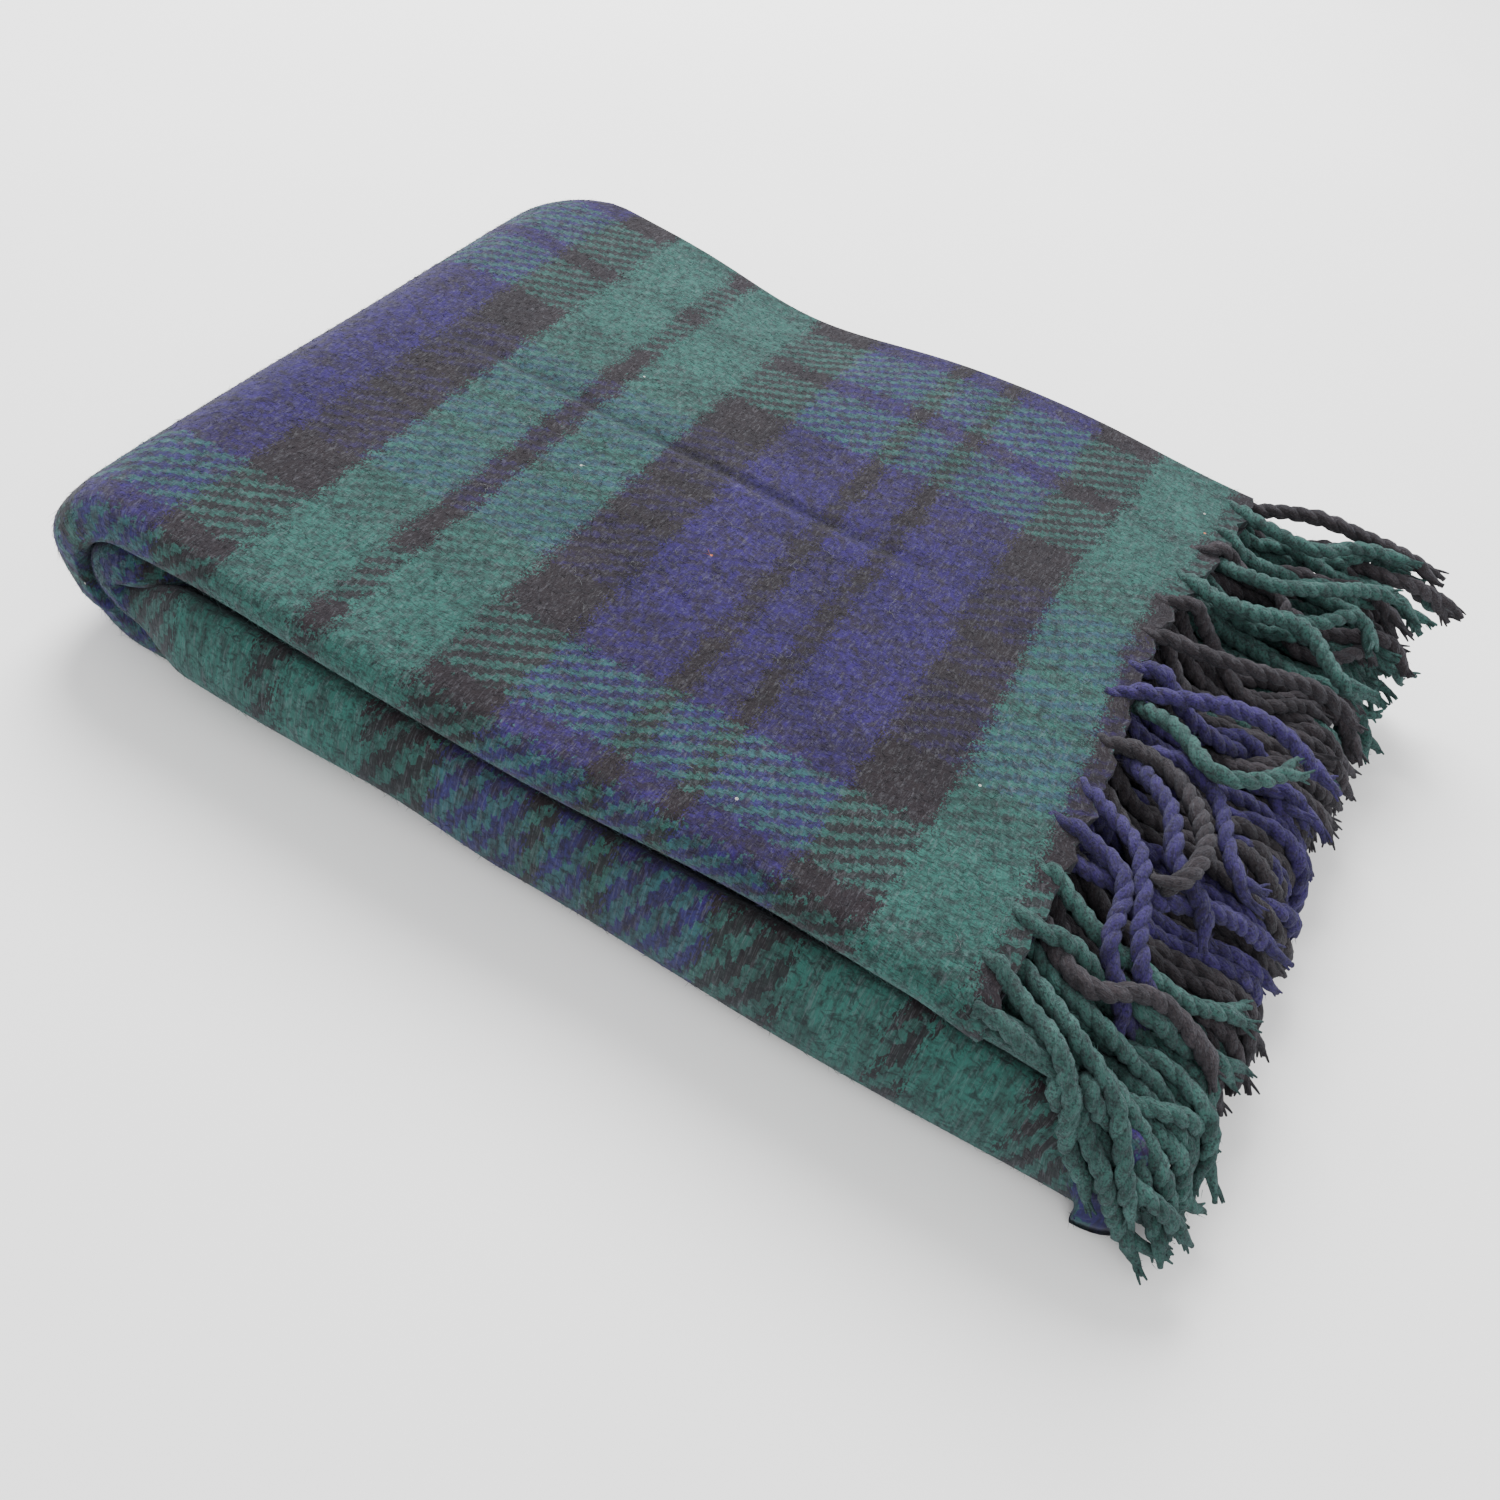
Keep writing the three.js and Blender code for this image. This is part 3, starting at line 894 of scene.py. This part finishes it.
class TubeSet:
    """Collects closed tubes and fibres into one mesh."""

    def __init__(self):
        self.points, self.faces, self.yarn, self.tint, self.total = [], [], [], [], 0

    def add(self, centres, radii, sides, tint):
        """One slightly lumpy tube, closed at both ends."""
        rings = len(centres)
        _, across, up = carried_frame(centres)
        angle = np.linspace(0, 2 * math.pi, sides, endpoint=False)
        circle = np.cos(angle)[None, :, None] * across[:, None] + np.sin(angle)[None, :, None] * up[:, None]
        lumps = 1 + RNG.normal(0, 0.055, (rings, sides, 1))
        points = centres[:, None] + circle * radii[:, None, None] * lumps
        run = distance_along(centres)[:, None] * 100
        yarn = np.broadcast_arrays(np.cos(angle)[None], np.sin(angle)[None], run)
        loop = np.arange(sides)
        faces = np.roll(tube_quads(rings, sides)[:, ::-1], 1, axis=1).tolist()
        faces += [loop[::-1].tolist(), ((rings - 1) * sides + loop).tolist()]
        self.collect(points.reshape(-1, 3), faces, np.stack(yarn, -1).reshape(-1, 3), tint)

    def add_fibres(self, points, faces, tint):
        self.collect(points, faces.tolist(), np.tile((0.0, 0.0, 1.0), (len(points), 1)), tint)

    def collect(self, points, faces, yarn, tint):
        points = points.copy()
        points[:, 2] = np.maximum(points[:, 2], ABOVE_FLOOR)
        self.points.append(points)
        self.yarn.append(yarn)
        self.tint.append(np.tile(tint, (len(points), 1)))
        self.faces += [[self.total + corner for corner in face] for face in faces]
        self.total += len(points)

    def build(self, name, material):
        points, yarn, tint = (np.concatenate(x) for x in (self.points, self.yarn, self.tint))
        return mesh_object(name, points, self.faces, material, yarn=yarn, tint=tint)


CORD_COLOURS = {
    "green": (0.0285, 0.0810, 0.0700),
    "navy": (0.0300, 0.0195, 0.0930),
    "black": (0.0310, 0.0250, 0.0275),
}


def strand_tints(y, colour):
    """Both strands of most cords have one colour; some join two neighbouring stripes."""
    first = colour or cord_colour(y + RNG.normal(0, 0.009))
    first = "black" if first == "navy" and not colour and RNG.uniform() < 0.34 else first
    mixed = RNG.uniform() < 0.14
    second = cord_colour(y + RNG.normal(0, 0.020)) if mixed and not colour else first
    return [np.array(CORD_COLOURS[name]) * RNG.uniform(0.82, 1.22) for name in (first, second)]


CORD_SAMPLES = 72


def add_cord(tubes, nodes, tints):
    """Two fuzzy strands laid round each other, which come apart in the last centimetre or two."""
    line = smooth_path(nodes, CORD_SAMPLES)
    run = distance_along(line)
    _, across, up = carried_frame(line)
    frayed = RNG.uniform(0.010, 0.022)
    loose = smooth((run - (run[-1] - frayed)) / frayed)
    rooted = smooth(run / 0.016)
    start, pitch = RNG.uniform(0, 6.3), RNG.uniform(0.0125, 0.0180)
    soft = RNG.uniform(0.0010, 0.0013)
    thick = RNG.uniform(0.92, 1.08)
    twist = start + 6.283 * np.minimum(run, run[-1] - frayed * 0.7) / pitch
    twist = twist + 0.5 * np.sin(run / 0.011 + start)
    for side, tint in zip((0, math.pi), tints):
        offset = (soft + 0.0030 * loose)[:, None]
        angle = (twist + side)[:, None]
        centre = line + offset * (np.cos(angle) * across + np.sin(angle) * up)
        swell = 1 + 0.05 * np.sin(run / 0.004 + side + start) + 0.04 * np.sin(run / 0.0093 + 2 * start)
        radii = (0.0021 + 0.0008 * rooted) * thick * swell * (1 - 0.62 * loose**2)
        tubes.add(centre, radii, 9, tint)
        add_lobes(tubes, centre, across, up, frayed, run, tint)
    add_fuzz(tubes, line, tints)


def add_fuzz(tubes, line, tints):
    """Short fibres that stand off the cord."""
    count = 90
    for tint in tints:
        place = RNG.integers(6, len(line) - 2, count)
        tangent = unit(line[place + 1] - line[place - 1])
        way = square_to(RNG.normal(0, 1, (count, 3)), tangent)
        roots = line[place] + way * 0.0026
        way = way * RNG.uniform(0.3, 1.0, (count, 1)) + tangent * RNG.choice((-1, 1), (count, 1))
        points, faces = spikes(roots, unit(way), RNG.uniform(0.0015, 0.0045, count), 0.00013)
        tubes.add_fibres(points, faces, tint * 1.25)


def add_lobes(tubes, centre, across, up, frayed, run, tint):
    """Loose plies that splay from the end of a strand."""
    first = int(np.searchsorted(run, run[-1] - frayed * 0.8))
    along = np.linspace(0, 1, len(run) - first)[:, None]
    for _ in range(3):
        angle = RNG.uniform(0, 6.3)
        spread = RNG.uniform(0.0012, 0.0048)
        way = math.cos(angle) * across[first:] + math.sin(angle) * up[first:]
        path = centre[first:] + way * spread * along**1.4
        path[:, 2] = np.maximum(path[:, 2], 0.0009)
        slim = 0.00105 * (1 - 0.60 * along[:, 0] ** 2)
        tubes.add(path, slim, 5, tint * RNG.uniform(0.85, 1.2))


def group_cords(prefix, groups, cords, roots, loose):
    """One ply's cords shared out to its pieces, from front to back, each with its root's y and colour."""
    share = 2 * HALF_WIDTH / groups
    pieces = {}
    for number in range(groups):
        low = number * share - HALF_WIDTH
        mine = [k for k, root in enumerate(roots) if low <= root[1] < low + share + 1e-9]
        pieces[f"{prefix}{number + 1}"] = [(cords[k], roots[k][1], loose.get(k)) for k in mine]
    return pieces


def fringe_piece(name, cords, material):
    """Cords of 24 nodes or more as one mesh; the loose ones keep the length that they were laid with."""
    tubes = TubeSet()
    for nodes, y, colour in cords:
        length = NODES - 4 if colour else int(RNG.integers(24, NODES + 1))
        add_cord(tubes, nodes[:length], strand_tints(y, colour))
    return tubes.build(name, material)


def build_fringe(material):
    """Every fringe piece by its name, from cords that have settled together."""
    top_roots = cord_roots(LEVELS, HEIGHT, TOP_CORDS, 0.006)
    second_roots = cord_roots([PLY - level for level in LEVELS], 3 * PITCH - 0.0003, SECOND_CORDS, 0.008)
    scatter = np.where(top_roots[:, 2] > HEIGHT - LEVELS[1] - 0.001, 0.027, 0.016)
    top = start_paths(deform(top_roots), TOP_LIE, scatter)
    loose = place_loose(top, top_roots)
    second = start_paths(deform(second_roots), SECOND_LIE, 0.014)
    paths = settle(np.concatenate([top, second]), list(loose))
    count = len(top_roots)
    pieces = group_cords("top_fringe_cords_", TOP_GROUPS, paths[:count], top_roots, loose)
    pieces.update(group_cords("second_fringe_cords_", SECOND_GROUPS, paths[count:], second_roots, {}))
    return {name: fringe_piece(name, cords, material) for name, cords in pieces.items()}


def yarn_material():
    """Twisted wool, coloured by each strand's own tint."""
    n = Nodes("wool_yarn")
    tint = n.attribute("tint")
    across_x, across_y, run = n.split(n.attribute("yarn"))
    slant = n.vector(n.times(across_x, 2.2), n.times(across_y, 2.2), n.times(run, 1.6))
    fibres = n.noise(slant, 2.6, 3.0, 0.7, 0.5)
    place = n.add("ShaderNodeTexCoord", (), "Object")
    specks = n.noise(place, 900.0, 2.0, 0.6)
    patches = n.noise(place, 90.0, 2.0, 0.5)
    pale = n.times(n.span(fibres, 0.50, 0.72), 0.42)
    colour = n.mix(pale, tint, (0.110, 0.118, 0.135, 1))
    dark = n.times(n.span(specks, 0.48, 0.66), 0.70)
    colour = n.mix(dark, colour, (0.009, 0.008, 0.011, 1))
    charred = n.times(n.span(n.noise(place, 260.0, 3.0, 0.7), 0.50, 0.64), 0.50)
    colour = n.mix(charred, colour, (0.0150, 0.0110, 0.0120, 1))
    n.plug(n.shader.inputs["Base Color"], n.scaled(colour, n.span(patches, 0.3, 0.7, 0.76, 1.28)))
    set_wool_finish(n)
    n.relief(n.plus(fibres, n.times(specks, 0.6)), 0.9, 0.0010)
    return n.material


def mount_fringe(made):
    """The top fringe is fixed in place in world space; the second rides with the pack's upper half. Each
    hides the parts that it stands for.
    """
    for number in range(1, TOP_GROUPS + 1):
        piece = made[f"top_fringe_cords_{number}"]
        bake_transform(piece)
        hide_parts(f"top_fringe_{number}")
    for number in range(1, SECOND_GROUPS + 1):
        piece = made[f"second_fringe_cords_{number}"]
        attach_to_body(piece, "upper_half")
        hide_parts(f"second_fringe_{number}")


# ---- camera, light and floor ----
def add_camera():
    """The photograph's point of view: from above the front right corner, rolled to one side."""
    aim, distance = Vector((0.0305, -0.0990, 0.0450)), 0.6145
    azimuth, elevation, roll = (math.radians(a) for a in (18.01, 47.18, 14.79))
    flat = math.cos(elevation)
    back = Vector((math.sin(azimuth) * flat, -math.cos(azimuth) * flat, math.sin(elevation)))
    level = (-back).cross(Vector((0, 0, 1))).normalized()
    rise = level.cross(-back)
    right = math.cos(roll) * level + math.sin(roll) * rise
    up = -math.sin(roll) * level + math.cos(roll) * rise
    camera = bpy.data.objects.new("camera", bpy.data.cameras.new("camera"))
    camera.data.lens = 34.31
    camera.data.sensor_width = 36
    camera.data.clip_start = 0.01
    turned = Matrix((right, up, back)).transposed().to_4x4()
    camera.matrix_world = Matrix.Translation(aim + back * distance) @ turned
    bpy.context.scene.collection.objects.link(camera)
    bpy.context.scene.camera = camera


def add_light(name, position, aim, size, power):
    """A round soft light that faces its aim."""
    data = bpy.data.lights.new(name, "AREA")
    data.shape = "DISK"
    data.size = size
    data.energy = power
    light = bpy.data.objects.new(name, data)
    light.location = position
    direction = Vector(aim) - Vector(position)
    light.rotation_euler = direction.to_track_quat("-Z", "Y").to_euler()
    bpy.context.scene.collection.objects.link(light)


def add_world():
    """Even white light from all round."""
    world = bpy.data.worlds.new("studio")
    world.use_nodes = True
    background = world.node_tree.nodes["Background"]
    background.inputs[0].default_value = (1, 1, 1, 1)
    background.inputs[1].default_value = 1.22
    bpy.context.scene.world = world


def add_floor():
    """A plain pale floor, which is not part of the object."""
    n = Nodes("floor_paper")
    position = n.add("ShaderNodeTexCoord", (), "Object")
    tone = n.span(n.noise(position, 3.0), 0.3, 0.7, 0.90, 0.94)
    n.plug(n.shader.inputs["Base Color"], n.add("ShaderNodeCombineColor", {0: tone, 1: tone, 2: tone}))
    n.shader.inputs["Roughness"].default_value = 0.9
    size = 6.0
    corners = [(-size, -size, 0), (size, -size, 0), (size, size, 0), (-size, size, 0)]
    floor = mesh_object("floor", corners, [(0, 1, 2, 3)], n.material)


# ---- the cloth's five pieces ----
V_OUTER = PLY_RUN
V_FOURTH = V_OUTER + OUTER_ARC
V_RIGHT = V_FOURTH + LOWER_RUN * FOURTH_SLACK
V_THIRD = V_RIGHT + INNER_ARC
V_INNER = V_THIRD + LOWER_RUN
V_SECOND = V_INNER + INNER_ARC
NAP_COUNTS = {
    "top_ply": 45000, "outer_turn": 12000, "lower_cloth": 40000, "inner_turn": 2500, "second_ply": 16000,
}
BENT = ("outer_turn", "inner_turn")


def build_cloth(material):
    """The whole cloth is one chain of stations, cut where its pieces meet."""
    half, right_level = HEIGHT / 2, PITCH - 0.00017
    top = straight(HEIGHT, ROOT_X, FOLD_X, 0.0)
    outer = turn(FOLD_X, half, half, -1, True, 1, V_OUTER, OUTER_ARC, 44)
    fourth = straight(0.0, FOLD_X, LOWER_X, V_FOURTH, upside_down=True, slack=FOURTH_SLACK)
    right = turn(LOWER_X, right_level, right_level, 1, False, 1, V_RIGHT, INNER_ARC, 20)
    third = straight(2 * right_level, LOWER_X, FOLD_X, V_THIRD)
    inner = turn(FOLD_X, half, 0.0002, -1, False, -1, V_INNER, INNER_ARC, 24)
    second = straight(2 * PITCH + 0.0001, FOLD_X, ROOT_X, V_SECOND, upside_down=True)
    parts = [("top_ply", top), ("outer_turn", outer), ("lower_cloth", fourth + right[1:] + third[1:])]
    parts += [("inner_turn", inner), ("second_ply", second)]
    chain, made = top[:1], {}
    for name, stations in parts:
        first = len(chain) - 1
        chain += stations[1:]
        made[name] = (first, len(chain) - 1)
    return {name: cloth_piece(name, chain, first, last, material) for name, (first, last) in made.items()}


def attach(piece, name):
    """The turns are fixed in place in world space; every other piece rides on one of the pack's two halves.
    """
    if name in BENT:
        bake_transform(piece)
    else:
        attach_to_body(piece, "lower_half" if name == "lower_cloth" else "upper_half")


def mount_cloth(pieces, material, yarn):
    """Adds the nap and the hairs, hides the parts that the sheets stand for, and sets what each piece rides
    on.
    """
    fibres = {}
    for name, (piece, nap) in pieces.items():
        fibres[name] = nap_piece(f"{name}_nap", nap, NAP_COUNTS[name], material)
        attach(piece, name)
        attach(fibres[name], name)
    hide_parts("ply_1")
    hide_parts("outer_fold")
    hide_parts("ply_3", "ply_4", "right_fold")
    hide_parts("inner_fold")
    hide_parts("ply_2")
    hairs = stray_hairs("stray_hairs", pieces["top_ply"][1], 190, yarn)
    attach(hairs, "top_ply")


add_camera()
add_world()
add_light("key", (-0.9, 1.3, 1.7), (0, 0, 0.05), 1.4, 116)
add_light("fill", (0.6, -1.4, 1.5), (0, 0, 0.05), 1.6, 14)
add_floor()
twill = cloth_material()
cloth = build_cloth(twill)
yarn = yarn_material()
cords = build_fringe(yarn)
mount_fringe(cords)
mount_cloth(cloth, twill, yarn)
